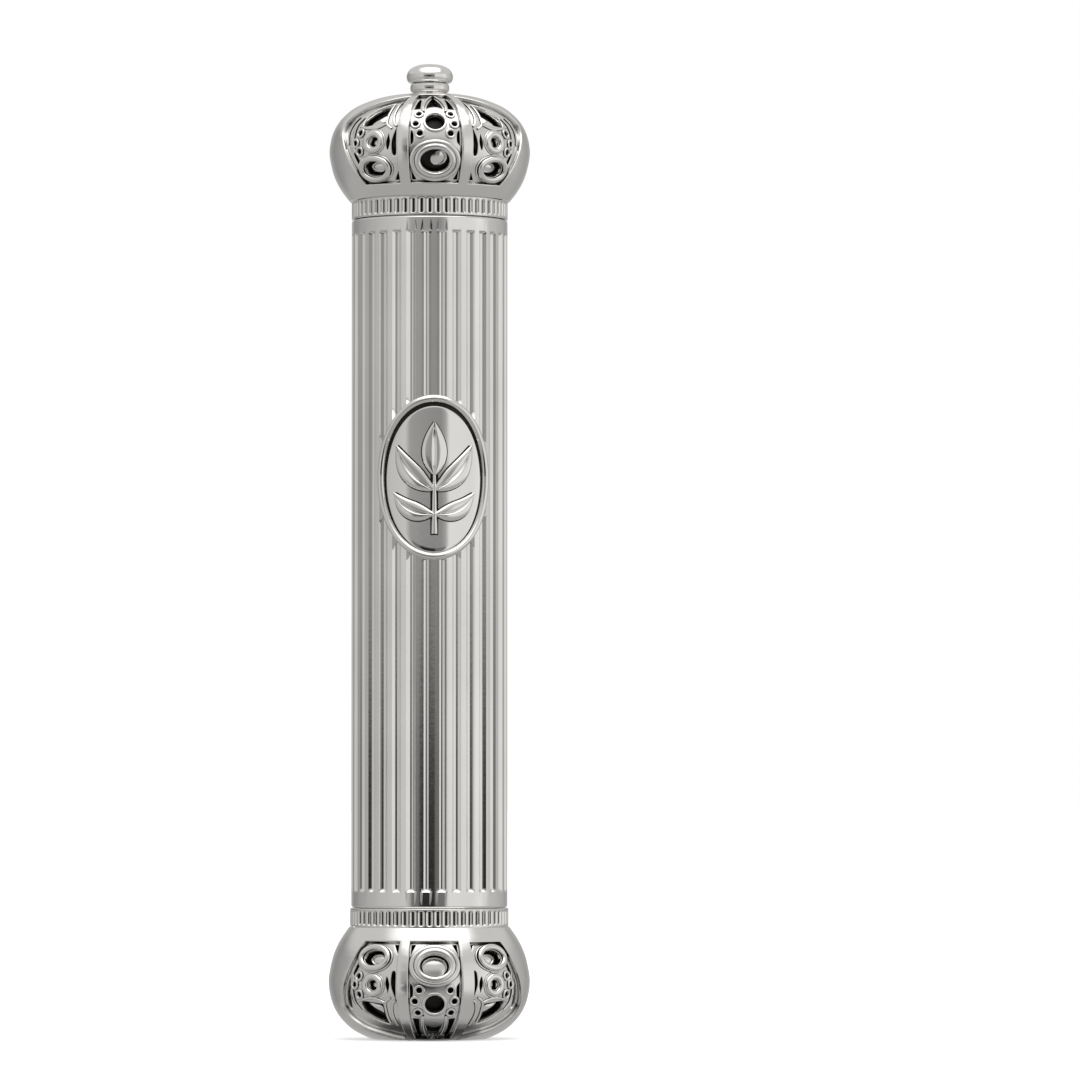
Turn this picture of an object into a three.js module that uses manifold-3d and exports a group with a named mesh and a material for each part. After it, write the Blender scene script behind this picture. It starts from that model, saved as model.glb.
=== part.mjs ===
// Mezuzah case: a half-round fluted metal casing with an openwork crown at each end.
// Units are millimetres. +Z is up, the front faces -Y, and the back plate lies against y = 0.
// The origin is the centre of the back plate's rear face, at half the case's height.

import * as THREE from 'three';
import { mergeVertices } from 'three/addons/utils/BufferGeometryUtils.js';
import Module from 'manifold-3d';

const wasm = await Module();
wasm.setup();

// ---- Driving dimensions ----

const AXIS_Y = -4.0;              // the round parts' common axis stands in front of the wall
const BACK_CLEARANCE = 0.3;       // the case's open back stays this far off the wall
const GAP = 0.3;                  // between pieces that touch
const ROUND_SEGMENTS = 48;
const CROWN_SEGMENTS = 36;

const SEAM_TOP = 50.8;            // casing meets the upper collar
const SEAM_BOTTOM = -54.9;        // casing meets the lower collar
const CASING_R = 12.0;
const CASING_WALL = 1.2;
const CASING_BORE_R = CASING_R - CASING_WALL;

const FLUTE_PITCH = THREE.MathUtils.degToRad(11.25);
const FLUTE_WIDTH = 1.5;
const FLUTE_DEPTH = 0.45;
const FLUTE_TOP = 48.6;
const FLUTE_BOTTOM = -52.4;

const MEDALLION_Z = 10.7;
const GROUND_RISE = 0.06;         // the unfluted ground under the medallion, above the lands
const RIM_HALF_WIDTH = 8.75;
const RIM_HALF_HEIGHT = 12.45;
const RIM_BREADTH = 0.9;
const RIM_TOP_R = 13.1;
const PLATE_HALF_WIDTH = 7.35;
const PLATE_HALF_HEIGHT = 10.9;
const PLATE_BOTTOM_R = 11.9;
const PLATE_TOP_R = 12.5;
const EMBLEM_TOP_R = 13.3;

const COLLAR_START = 0.3;         // heights in an end group are measured from its seam
const COLLAR_END = 2.6;
const COLLAR_REEDS = 58;
const COLLAR_VALLEY_R = 11.7;
const COLLAR_CREST_R = 12.1;

const CROWN_START = 2.9;
const CROWN_WALL = 1.3;
const CROWN_FOOT_END = 18.5;      // the lower crown's outline stops here, at its foot
const NECK_R = 2.9;
const NECK_END = 20.1;
const BOSS_R = 3.0;
const BOSS_START = 16.2;
const STUD_HOLE_R = 1.35;
const LINER_WALL = 0.6;
const LINER_END = 17.3;
const FOOT_R = 8.0;
const FOOT_START = 18.9;
const FOOT_END = 20.1;            // the lower crown is drawn out to this height

const PLUG_DEPTH = 1.7;           // how far a plug reaches into the casing
const PLUG_END = 2.4;
const PLUG_BACK_Y = -2.8;

const KNOB_R = 3.45;
const KNOB_BOTTOM = 21.4;
const KNOB_WIDEST = 22.1;
const KNOB_TOP = 24.2;
const STUD_R = 1.05;
const STUD_START = 16.8;
const RING_R = 3.15;
const RING_START = 20.3;
const RING_END = 21.2;

const RAIL_HALF_WIDTH = 8.0;      // the back plate's raised strip, which lies on the wall
const WING_HALF_WIDTH = 10.1;
const WING_BACK_Y = -1.5;
const PLATE_FRONT_Y = -2.4;
const LIP_FRONT_Y = -1.2;
const BACK_PLATE_BOTTOM = -52.0;
const BACK_PLATE_TOP = 46.0;
const STOP_HEIGHT = 2.0;
const SCREW_HOLE_Z = 35.0;
const SCREW_HOLE_R = 1.7;
const SCREW_HEAD_R = 3.4;

const SCROLL_Y = -8.5;
const SCROLL_BOTTOM = SEAM_BOTTOM + PLUG_DEPTH + GAP;
const SCROLL_LENGTH = 100.0;
const SLEEVE_R = 5.6;
const SLEEVE_BORE_R = 5.25;
const SCROLL_R = 4.9;
const SCROLL_EYE_R = 1.4;

// The crown's outline: (height above the seam, radius), from its collar up to its apex.
const crownOutline = new THREE.SplineCurve([
  new THREE.Vector2(CROWN_START, 12.3),
  new THREE.Vector2(4.6, 13.6),
  new THREE.Vector2(8.0, 15.1),
  new THREE.Vector2(10.5, 15.45),
  new THREE.Vector2(13.0, 15.05),
  new THREE.Vector2(16.0, 13.2),
  new THREE.Vector2(CROWN_FOOT_END, 8.8),
  new THREE.Vector2(19.4, 3.5),
]);
const OUTLINE_STEPS = 80;

// ---- Materials ----

const silver = new THREE.MeshStandardMaterial({ color: 0xd9d7d2, roughness: 0.12, metalness: 1 });
const zincSteel = new THREE.MeshStandardMaterial({ color: 0xa9aaa8, roughness: 0.4, metalness: 1 });
const parchment = new THREE.MeshStandardMaterial({ color: 0xe8dcc0, roughness: 0.8, metalness: 0 });
const clearPlastic = new THREE.MeshStandardMaterial({
  color: 0xeef2f4,
  roughness: 0.1,
  metalness: 0,
  transparent: true,
  opacity: 0.35,
});

// ---- Solids: three.js geometry in, manifold booleans, three.js geometry out ----

function toSolid(geometry) {
  const bare = geometry.clone();
  bare.deleteAttribute('normal');
  bare.deleteAttribute('uv');
  const merged = mergeVertices(bare, 1e-5);
  const vertProperties = new Float32Array(merged.attributes.position.array);
  const triVerts = new Uint32Array(merged.index.array);
  if (signedVolume(vertProperties, triVerts) < 0) {
    for (let i = 0; i < triVerts.length; i += 3) {
      [triVerts[i + 1], triVerts[i + 2]] = [triVerts[i + 2], triVerts[i + 1]];
    }
  }
  return new wasm.Manifold(new wasm.Mesh({ numProp: 3, vertProperties, triVerts }));
}

function signedVolume(positions, triangles) {
  const corner = [new THREE.Vector3(), new THREE.Vector3(), new THREE.Vector3()];
  let total = 0;
  for (let i = 0; i < triangles.length; i += 3) {
    corner.forEach((point, k) => point.fromArray(positions, 3 * triangles[i + k]));
    total += corner[0].dot(corner[1].clone().cross(corner[2])) / 6;
  }
  return total;
}

function toMesh(name, solid, material) {
  const { vertProperties, triVerts } = solid.getMesh();
  const geometry = new THREE.BufferGeometry();
  geometry.setAttribute('position', new THREE.BufferAttribute(new Float32Array(vertProperties), 3));
  geometry.setIndex(new THREE.BufferAttribute(new Uint32Array(triVerts), 1));
  geometry.computeVertexNormals();
  const mesh = new THREE.Mesh(geometry, material);
  mesh.name = name;
  return mesh;
}

function joinAll(solids) {
  return solids.reduce((whole, solid) => whole.add(solid));
}

// A box between two corners.
function block(low, high) {
  const size = high.map((value, i) => value - low[i]);
  const geometry = new THREE.BoxGeometry(...size);
  geometry.translate(...low.map((value, i) => value + size[i] / 2));
  return toSolid(geometry);
}

// Turns a profile of [radius, height] points about the Z axis. It closes on itself.
function turned(profile, segments = ROUND_SEGMENTS) {
  const points = profile.map(([radius, height]) => new THREE.Vector2(radius, height));
  const onAxis = points[0].x === 0 && points.at(-1).x === 0;
  if (!onAxis) points.push(points[0].clone());
  const geometry = new THREE.LatheGeometry(points, segments);
  geometry.rotateX(Math.PI / 2);
  return toSolid(geometry);
}

function tube(innerR, outerR, low, high) {
  return turned([[innerR, low], [outerR, low], [outerR, high], [innerR, high]]);
}

function disc(radius, low, high, segments = ROUND_SEGMENTS) {
  return turned([[0, low], [radius, low], [radius, high], [0, high]], segments);
}

// A flat outline drawn as seen from the front (x, z) and pushed forward from the axis.
function frontPrism(shape, curveSegments = 10) {
  const geometry = new THREE.ExtrudeGeometry(shape, {
    depth: 2 * CASING_R,
    bevelEnabled: false,
    curveSegments,
  });
  geometry.rotateX(Math.PI / 2);
  return toSolid(geometry);
}

function ovalPrism(halfWidth, halfHeight, segments = 32) {
  const oval = new THREE.Shape();
  oval.absellipse(0, 0, halfWidth, halfHeight, 0, 2 * Math.PI);
  return frontPrism(oval, segments).translate([0, 0, MEDALLION_Z]);
}

// Everything in front of a plane at the given world y. The solid's own axis is at AXIS_Y.
function inFrontOf(worldY) {
  const reach = 200;
  return block([-reach, -reach, -reach], [reach, worldY - AXIS_Y, reach]);
}

const caseFront = inFrontOf(-BACK_CLEARANCE);

// The way that the back plate takes out through the lower end as the case is lifted.
function plateChannel() {
  const halfWidth = WING_HALF_WIDTH + 0.4;
  return block([-halfWidth, PLUG_BACK_Y - AXIS_Y, -50], [halfWidth, 10, 50]);
}

// ---- Casing ----

// A ring's outline seen from above, with a concave flute between every two lands.
function ringOutline(outerR, fluteDepth) {
  const outline = new THREE.Shape();
  const landHalf = FLUTE_PITCH / 2 - FLUTE_WIDTH / CASING_R / 2;
  const steps = [
    [-landHalf, 0],
    [landHalf, 0],
    [FLUTE_PITCH * 0.36, 0.75 * fluteDepth],
    [FLUTE_PITCH * 0.5, fluteDepth],
    [FLUTE_PITCH * 0.64, 0.75 * fluteDepth],
  ];
  const count = Math.round((2 * Math.PI) / FLUTE_PITCH);
  for (let i = 0; i < count; i += 1) {
    for (const [offset, depth] of steps) {
      const angle = i * FLUTE_PITCH + offset;
      const radius = outerR - depth;
      const point = [radius * Math.sin(angle), -radius * Math.cos(angle)];
      if (i === 0 && offset === -landHalf) outline.moveTo(...point);
      else outline.lineTo(...point);
    }
  }
  outline.closePath();
  return outline;
}

function upright(outline, low, high) {
  const geometry = new THREE.ExtrudeGeometry(outline, { depth: high - low, bevelEnabled: false });
  geometry.translate(0, 0, low);
  return toSolid(geometry);
}

function casing() {
  const plain = ringOutline(CASING_R, 0);
  const ground = upright(ringOutline(CASING_R + GROUND_RISE, 0), SEAM_BOTTOM, SEAM_TOP)
    .intersect(ovalPrism(RIM_HALF_WIDTH, RIM_HALF_HEIGHT, 28));
  const pocket = ovalPrism(PLATE_HALF_WIDTH + GAP, PLATE_HALF_HEIGHT + GAP, 28)
    .subtract(disc(PLATE_BOTTOM_R - GAP, SEAM_BOTTOM, SEAM_TOP, 48));
  const behind = CASING_R;
  const innerEdge = RAIL_HALF_WIDTH + GAP;
  const outerEdge = CASING_R - 0.7;
  const lipFront = LIP_FRONT_Y - AXIS_Y;
  const rightLip = block([innerEdge, lipFront, SEAM_BOTTOM], [outerEdge, behind, SEAM_TOP]);
  const leftLip = block([-outerEdge, lipFront, SEAM_BOTTOM], [-innerEdge, behind, SEAM_TOP]);
  const stopBottom = BACK_PLATE_TOP + GAP;
  const stop = block(
    [-outerEdge, PLATE_FRONT_Y - AXIS_Y, stopBottom],
    [outerEdge, behind, stopBottom + STOP_HEIGHT],
  );
  return upright(ringOutline(CASING_R, FLUTE_DEPTH), FLUTE_BOTTOM, FLUTE_TOP)
    .add(upright(plain, SEAM_BOTTOM, FLUTE_BOTTOM))
    .add(upright(plain, FLUTE_TOP, SEAM_TOP))
    .add(ground)
    .subtract(disc(CASING_BORE_R, SEAM_BOTTOM - 1, SEAM_TOP + 1, 48))
    .subtract(pocket)
    .add(rightLip)
    .add(leftLip)
    .add(stop)
    .intersect(caseFront);
}

function medallionPlate() {
  const skin = tube(PLATE_BOTTOM_R, PLATE_TOP_R, SEAM_BOTTOM, SEAM_TOP);
  return ovalPrism(PLATE_HALF_WIDTH, PLATE_HALF_HEIGHT).intersect(skin);
}

function medallionRim() {
  const skin = tube(CASING_R + GAP, RIM_TOP_R, SEAM_BOTTOM, SEAM_TOP);
  return ovalPrism(RIM_HALF_WIDTH, RIM_HALF_HEIGHT)
    .subtract(ovalPrism(RIM_HALF_WIDTH - RIM_BREADTH, RIM_HALF_HEIGHT - RIM_BREADTH))
    .intersect(skin);
}

// A sprig: a stem with a leaf on top and two pairs of leaves that lean out to the sides.
function leafEmblem() {
  const stem = new THREE.Shape();
  stem.moveTo(-0.5, -8.5);
  stem.lineTo(0.5, -8.5);
  stem.lineTo(0.4, 2);
  stem.lineTo(-0.4, 2);
  const leaves = [
    { base: [0, 0.2], lean: 0, length: 8.2, halfWidth: 1.7 },
    { base: [0, -2], lean: 38, length: 8.2, halfWidth: 1.5 },
    { base: [0, -2], lean: -38, length: 8.2, halfWidth: 1.5 },
    { base: [0, -5.6], lean: 60, length: 6.2, halfWidth: 1.4 },
    { base: [0, -5.6], lean: -60, length: 6.2, halfWidth: 1.4 },
  ];
  const skin = tube(PLATE_TOP_R + GAP, EMBLEM_TOP_R, SEAM_BOTTOM, SEAM_TOP);
  return joinAll([frontPrism(stem), ...leaves.map(leafPrism)])
    .translate([0, 0, MEDALLION_Z])
    .intersect(skin);
}

function leafPrism({ base, lean, length, halfWidth }) {
  const leaf = new THREE.Shape();
  leaf.moveTo(0, 0);
  leaf.quadraticCurveTo(2 * halfWidth, length / 2, 0, length);
  leaf.quadraticCurveTo(-2 * halfWidth, length / 2, 0, 0);
  return frontPrism(leaf, 6).rotate([0, lean, 0]).translate([base[0], 0, base[1]]);
}

// ---- Crowns and their parts, measured upward from a seam ----

function collar() {
  const outline = new THREE.Shape();
  for (let i = 0; i < 2 * COLLAR_REEDS; i += 1) {
    const angle = (i * Math.PI) / COLLAR_REEDS;
    const radius = i % 2 === 0 ? COLLAR_CREST_R : COLLAR_VALLEY_R;
    const point = [radius * Math.sin(angle), radius * Math.cos(angle)];
    if (i === 0) outline.moveTo(...point);
    else outline.lineTo(...point);
  }
  outline.closePath();
  const depth = COLLAR_END - COLLAR_START;
  const geometry = new THREE.ExtrudeGeometry(outline, { depth, bevelEnabled: false });
  geometry.translate(0, 0, COLLAR_START);
  return toSolid(geometry).subtract(disc(CASING_BORE_R, -1, COLLAR_END + 1)).intersect(caseFront);
}

// Points along the crown's outline, moved inward by an inset and stopped at a height.
function outlinePoints(inset, end, steps) {
  const points = [];
  for (let i = 0; i <= steps; i += 1) {
    const [radius, height] = insetPoint(i / steps, inset);
    if (height <= end + 1e-6) points.push([radius, height]);
  }
  return points;
}

function insetPoint(t, inset) {
  const point = crownOutline.getPoint(t);
  const tangent = crownOutline.getTangent(t);
  return [point.y - inset * tangent.x, point.x + inset * tangent.y];
}

// Where the outline passes a height, and how far the surface there leans back from upright.
function outlineAt(height) {
  let best = 0;
  for (let i = 0; i <= OUTLINE_STEPS; i += 1) {
    const t = i / OUTLINE_STEPS;
    if (Math.abs(crownOutline.getPoint(t).x - height) < Math.abs(crownOutline.getPoint(best).x - height)) {
      best = t;
    }
  }
  const tangent = crownOutline.getTangent(best);
  return { radius: crownOutline.getPoint(best).y, lean: Math.atan2(-tangent.y, tangent.x) };
}

// An oval hole through the crown, square to its surface, at an angle from the centre plane.
function piercing({ angle, height, halfWidth, halfHeight }) {
  const { radius, lean } = outlineAt(height);
  const cutter = new THREE.CylinderGeometry(1, 1, 5, 10);
  cutter.scale(halfWidth, 1, halfHeight);
  cutter.rotateX(-lean);
  cutter.translate(0, -radius, height);
  cutter.rotateZ(THREE.MathUtils.degToRad(angle));
  return toSolid(cutter);
}

// The pierced windows: one in front, then a pair at each side, all with the same pattern.
function fretwork() {
  const pattern = [
    { angle: 0, height: 8.2, halfWidth: 2.1, halfHeight: 1.7 },
    { angle: 0, height: 13.8, halfWidth: 1.5, halfHeight: 1.5 },
  ];
  const windowPitch = 37;
  const solids = [];
  for (let window = -2; window <= 2; window += 1) {
    for (const hole of pattern) {
      solids.push(piercing({ ...hole, angle: hole.angle + window * windowPitch }));
    }
  }
  return joinAll(solids);
}

function topCrown() {
  const outer = outlinePoints(0, NECK_END, 10);
  const inner = outlinePoints(CROWN_WALL, BOSS_START + 1.6, 7).filter(([radius]) => radius > BOSS_R + 0.5);
  const profile = [
    ...outer,
    [NECK_R, 19.5],
    [NECK_R, NECK_END],
    [STUD_HOLE_R, NECK_END],
    [STUD_HOLE_R, BOSS_START],
    [BOSS_R, BOSS_START],
    [BOSS_R, BOSS_START + 1.9],
    ...inner.reverse(),
  ];
  return turned(profile, CROWN_SEGMENTS).subtract(fretwork()).intersect(caseFront);
}

// The lower end is the upper one drawn out a little in height.
function drawnOut(solid) {
  const stretch = (FOOT_END - CROWN_START) / (CROWN_FOOT_END - CROWN_START);
  return solid
    .translate([0, 0, -CROWN_START])
    .scale([1, 1, stretch])
    .translate([0, 0, CROWN_START]);
}

function bottomCrown() {
  const outer = outlinePoints(0, CROWN_FOOT_END, 10);
  const inner = outlinePoints(CROWN_WALL, CROWN_FOOT_END - CROWN_WALL, 7);
  const shell = turned([...outer, ...inner.reverse()], CROWN_SEGMENTS).subtract(fretwork());
  return drawnOut(shell).intersect(caseFront).subtract(plateChannel());
}

function liner() {
  const outer = outlinePoints(CROWN_WALL + GAP, LINER_END - CROWN_WALL, 6);
  const inner = outlinePoints(CROWN_WALL + GAP + LINER_WALL, LINER_END - CROWN_WALL, 6);
  return turned([...outer, ...inner.reverse()], CROWN_SEGMENTS);
}

function plug() {
  return disc(CASING_BORE_R - GAP, -PLUG_DEPTH, PLUG_END, 48).intersect(inFrontOf(PLUG_BACK_Y));
}

function footCap() {
  return disc(FOOT_R, FOOT_START, FOOT_END, 48).intersect(inFrontOf(PLUG_BACK_Y));
}

function knobRing() {
  const middle = (RING_START + RING_END) / 2;
  const profile = [
    [STUD_HOLE_R, RING_START],
    [RING_R - 0.3, RING_START],
    [RING_R, middle],
    [RING_R - 0.3, RING_END],
    [STUD_HOLE_R, RING_END],
  ];
  return turned(profile, 32);
}

function knob() {
  const profile = [[0, STUD_START], [STUD_R, STUD_START], [STUD_R, KNOB_BOTTOM], [2.4, KNOB_BOTTOM]];
  const domeSteps = 7;
  for (let i = 0; i <= domeSteps; i += 1) {
    const angle = (i * Math.PI) / 2 / domeSteps;
    const height = KNOB_WIDEST + (KNOB_TOP - KNOB_WIDEST) * Math.sin(angle);
    const radius = i === domeSteps ? 0 : KNOB_R * Math.cos(angle);
    profile.push([radius, height]);
  }
  return turned(profile, 32);
}

// ---- Back plate and scroll ----

function backPlate() {
  const rail = block(
    [-RAIL_HALF_WIDTH, PLATE_FRONT_Y, BACK_PLATE_BOTTOM],
    [RAIL_HALF_WIDTH, 0, BACK_PLATE_TOP],
  );
  const wings = block(
    [-WING_HALF_WIDTH, PLATE_FRONT_Y, BACK_PLATE_BOTTOM],
    [WING_HALF_WIDTH, WING_BACK_Y, BACK_PLATE_TOP],
  );
  const depth = -PLATE_FRONT_Y;
  const countersink = [
    [0, -1],
    [SCREW_HOLE_R, -1],
    [SCREW_HOLE_R, depth - (SCREW_HEAD_R - SCREW_HOLE_R)],
    [SCREW_HEAD_R, depth],
    [SCREW_HEAD_R, depth + 1],
    [0, depth + 1],
  ];
  const holeForward = turned(countersink, 24).rotate([90, 0, 0]);
  return rail
    .add(wings)
    .subtract(holeForward.translate([0, 0, SCREW_HOLE_Z]))
    .subtract(holeForward.translate([0, 0, -SCREW_HOLE_Z]));
}

function roll(innerR, outerR, length) {
  return turned([[innerR, 0], [outerR, 0], [outerR, length], [innerR, length]], 32);
}

// ---- Assembly ----

const mezuzahCase = new THREE.Group();
mezuzahCase.add(toMesh('back_plate', backPlate(), zincSteel));

const caseGroup = new THREE.Group();
caseGroup.position.y = AXIS_Y;
mezuzahCase.add(caseGroup);
caseGroup.add(toMesh('body_shell', casing(), silver));
caseGroup.add(toMesh('medallion_plate', medallionPlate(), silver));
caseGroup.add(toMesh('medallion_rim', medallionRim(), silver));
caseGroup.add(toMesh('leaf_emblem', leafEmblem(), silver));

const upperEnd = new THREE.Group();
upperEnd.position.z = SEAM_TOP;
caseGroup.add(upperEnd);
upperEnd.add(toMesh('top_collar', collar(), silver));
upperEnd.add(toMesh('top_crown', topCrown(), silver));
upperEnd.add(toMesh('top_liner', liner().intersect(caseFront), silver));
upperEnd.add(toMesh('top_plug', plug(), silver));
upperEnd.add(toMesh('knob_ring', knobRing(), silver));
upperEnd.add(toMesh('knob', knob(), silver));

const lowerEnd = new THREE.Group();
lowerEnd.position.z = SEAM_BOTTOM;
lowerEnd.rotation.y = Math.PI;
caseGroup.add(lowerEnd);
lowerEnd.add(toMesh('bottom_collar', collar().subtract(plateChannel()), silver));
lowerEnd.add(toMesh('bottom_crown', bottomCrown(), silver));
const lowerLiner = drawnOut(liner()).intersect(caseFront).subtract(plateChannel());
lowerEnd.add(toMesh('bottom_liner', lowerLiner, silver));
lowerEnd.add(toMesh('bottom_plug', plug(), silver));
lowerEnd.add(toMesh('foot_cap', footCap(), silver));

const scrollGroup = new THREE.Group();
scrollGroup.position.set(0, SCROLL_Y, SCROLL_BOTTOM);
mezuzahCase.add(scrollGroup);
scrollGroup.add(toMesh('scroll', roll(SCROLL_EYE_R, SCROLL_R, SCROLL_LENGTH), parchment));
scrollGroup.add(toMesh('scroll_sleeve', roll(SLEEVE_BORE_R, SLEEVE_R, SCROLL_LENGTH), clearPlastic));

export default mezuzahCase;
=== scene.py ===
"""The looks of the mezuzah case: fine meshes, silver plate and a plain studio.

Lengths are in millimetres until a mesh is made, and in the frame's metres after that.
"""

import math
from collections import namedtuple

import bmesh
import bpy
import numpy as np
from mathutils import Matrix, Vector


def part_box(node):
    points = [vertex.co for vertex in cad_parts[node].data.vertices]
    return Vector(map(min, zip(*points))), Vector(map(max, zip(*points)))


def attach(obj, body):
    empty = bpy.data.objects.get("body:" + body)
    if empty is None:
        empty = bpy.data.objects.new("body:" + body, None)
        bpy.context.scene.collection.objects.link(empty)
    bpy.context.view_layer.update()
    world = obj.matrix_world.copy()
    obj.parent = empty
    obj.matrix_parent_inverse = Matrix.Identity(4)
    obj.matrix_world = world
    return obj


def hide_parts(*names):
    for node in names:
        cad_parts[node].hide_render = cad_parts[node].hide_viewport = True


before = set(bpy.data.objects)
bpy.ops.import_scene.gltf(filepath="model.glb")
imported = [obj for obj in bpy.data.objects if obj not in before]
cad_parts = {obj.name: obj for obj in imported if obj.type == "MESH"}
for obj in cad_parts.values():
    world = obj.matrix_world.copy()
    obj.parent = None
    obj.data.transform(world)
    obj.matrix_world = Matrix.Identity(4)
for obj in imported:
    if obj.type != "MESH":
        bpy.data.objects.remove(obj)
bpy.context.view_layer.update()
MM = 0.001


def box_mm(node):
    """Lowest and highest corner of a CAD node, in millimetres."""
    low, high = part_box(node)
    return np.array(low) / MM, np.array(high) / MM


# ---- Places that the frame gives ----

SHELL_LOW, SHELL_HIGH = box_mm("body_shell")
KNOB_LOW, KNOB_HIGH = box_mm("knob")
PLATE_LOW, PLATE_HIGH = box_mm("back_plate")
MEDAL_LOW, MEDAL_HIGH = box_mm("medallion_rim")
SEAM_BOTTOM, SEAM_TOP = SHELL_LOW[2], SHELL_HIGH[2]
CASING_R = (SHELL_HIGH[0] - SHELL_LOW[0]) / 2
AXIS_Y = (KNOB_LOW[1] + KNOB_HIGH[1]) / 2
BACK = SHELL_HIGH[1] - AXIS_Y
MEDAL_Z = (MEDAL_LOW[2] + MEDAL_HIGH[2]) / 2
BOTTOM_Z = box_mm("foot_cap")[0][2]
CHANNEL_HALF_WIDTH = PLATE_HIGH[0] + 1.3      # the back plate takes this way out through the lower crown
CHANNEL_FRONT = box_mm("foot_cap")[1][1]

# ---- Sizes of the visible detail ----

CASING_WALL = 1.2
CASING_BORE_R = CASING_R - CASING_WALL
BACK_LIP = 0.9                  # thickness of the lips that hold the casing on the back plate
SCREW_HOLE_Z = 35.0
SCREW_HOLE_R, SCREW_HEAD_R = 1.7, 3.4
FLUTE_PITCH = math.radians(11.25)
FLUTE_HALF_WIDTH = 0.75
FLUTE_DEPTH = 0.55
FLUTE_END = 0.5                 # a flute runs out to the surface over this length
FLUTE_TOP = SEAM_TOP - 2.2
FLUTE_BOTTOM = SEAM_BOTTOM + 2.5
COLLAR_LOW, COLLAR_HIGH = 0.06, 2.82          # away from the seam, as all rises on a crown
COLLAR_MIDDLE = (COLLAR_LOW + COLLAR_HIGH) / 2 + 0.05
DOME_START, DOME_END = 2.85, 18.5
REEDS = 58
SLOT_HALF_WIDTH, SLOT_HALF_LENGTH = 0.12, 1.12
PLANE_R = 15.0                  # a window is drawn flat, as an unrolled cylinder of this radius
FRAME_WALL = 1.3
WINDOW_TOP_DEPTH = 0.6          # how far a window's plate lies below the bands
WINDOW_WALL = 0.8
WINDOW_LOW, OPENING_LOW = 4.7, 4.95           # lowest edge of the windows, and of the openings in them
RING_RISE = 7.87                # the front window's ring is this far above the seam
DOT_R = 0.46
BEAD_SIDES = 12
LINER_WALL = 0.5
LINER_DEPTH = 2.1
LINER_END_DEPTH = 1.5
PAD_DEPTH = 1.55                # how far a boss on the liner lies below the bands
UNCUT = 1000.0                  # a cell so large that a pierced plate isn't cut by the grid


# ---- Small geometry helpers ----

def full_turn(count):
    """Angles once round."""
    return np.linspace(0, 2 * math.pi, count, endpoint=False)


def smooth_curve(points, count):
    """Catmull-Rom through points, count samples, ends included."""
    points = np.array(points, float)
    padded = np.vstack([2 * points[0] - points[1], points, 2 * points[-1] - points[-2]])
    t = np.linspace(0, len(points) - 1, count)
    i = np.minimum(t.astype(int), len(points) - 2)
    f = (t - i)[:, None]
    a, b, c, d = padded[i], padded[i + 1], padded[i + 2], padded[i + 3]
    return 0.5 * (2 * b + (c - a) * f + (2 * a - 5 * b + 4 * c - d) * f**2 + (3 * b - a - 3 * c + d) * f**3)


def smooth_loop(points, count):
    """The same as a closed loop, with a corner at its first point."""
    return smooth_curve([*points, points[0]], count + 1)[:-1]


def grid_faces(rows, columns, close_rows=False, close_columns=False):
    """Quads of a grid of rows x columns vertices."""
    r = np.arange(rows if close_rows else rows - 1)
    c = np.arange(columns if close_columns else columns - 1)
    r, c = np.meshgrid(r, c, indexing="ij")
    r1, c1 = (r + 1) % rows, (c + 1) % columns
    quads = np.stack([r * columns + c, r * columns + c1, r1 * columns + c1, r1 * columns + c], -1)
    return quads.reshape(-1, 4)


def tube_faces(rows, columns, closed=False):
    """Faces of a tube of round rows: closed into a ring, or else with a cap on each end."""
    faces = [list(quad) for quad in grid_faces(rows, columns, closed, True)]
    if not closed:
        faces += [list(range(columns)), list(range((rows - 1) * columns, rows * columns))]
    return faces


def wall(outer, inner):
    """A closed wall between two grids of the same size."""
    rows, columns = outer.shape[:2]
    loop = np.concatenate([outer, inner[:, ::-1]], axis=1)
    faces = list(grid_faces(rows, 2 * columns, close_columns=True))
    for start in (0, (rows - 1) * 2 * columns):
        for j in range(columns - 1):
            k = 2 * columns - 1 - j
            faces.append([start + j, start + j + 1, start + k - 1, start + k])
    return loop.reshape(-1, 3), faces


def turned(profile, segments=96):
    """A lathe about the common axis. The profile is a list of (radius, height) that closes on the axis."""
    profile = np.array(profile, float)
    angle = full_turn(segments)
    rows = profile[1:-1]
    x = rows[:, None, 0] * np.sin(angle)
    y = AXIS_Y - rows[:, None, 0] * np.cos(angle)
    z = np.repeat(rows[:, 1:], segments, axis=1)
    vertices = np.stack([x, y, z], -1).reshape(-1, 3)
    faces = [list(quad) for quad in grid_faces(len(rows), segments, close_columns=True)]
    for start, height in ((0, profile[0, 1]), ((len(rows) - 1) * segments, profile[-1, 1])):
        tip = len(vertices)
        vertices = np.vstack([vertices, [0, AXIS_Y, height]])
        faces += [[start + j, start + (j + 1) % segments, tip] for j in range(segments)]
    return vertices, faces


def linked(name, data):
    """A new object in the scene."""
    obj = bpy.data.objects.new(name, data)
    bpy.context.scene.collection.objects.link(obj)
    return obj


def make(name, parts, sharp_degrees=40):
    """One mesh object from a list of (vertices in mm, faces)."""
    vertices, faces, count = [], [], 0
    for part_vertices, part_faces in parts:
        vertices.append(np.asarray(part_vertices, float))
        faces += [[int(i) + count for i in face] for face in part_faces]
        count += len(part_vertices)
    mesh = bpy.data.meshes.new(name)
    mesh.from_pydata((np.vstack(vertices) * MM).tolist(), [], faces)
    bm = bmesh.new()
    bm.from_mesh(mesh)
    bmesh.ops.recalc_face_normals(bm, faces=bm.faces)
    bm.to_mesh(mesh)
    bm.free()
    mesh.polygons.foreach_set("use_smooth", [True] * len(mesh.polygons))
    mesh.set_sharp_from_angle(angle=math.radians(sharp_degrees))
    return linked(name, mesh)


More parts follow.
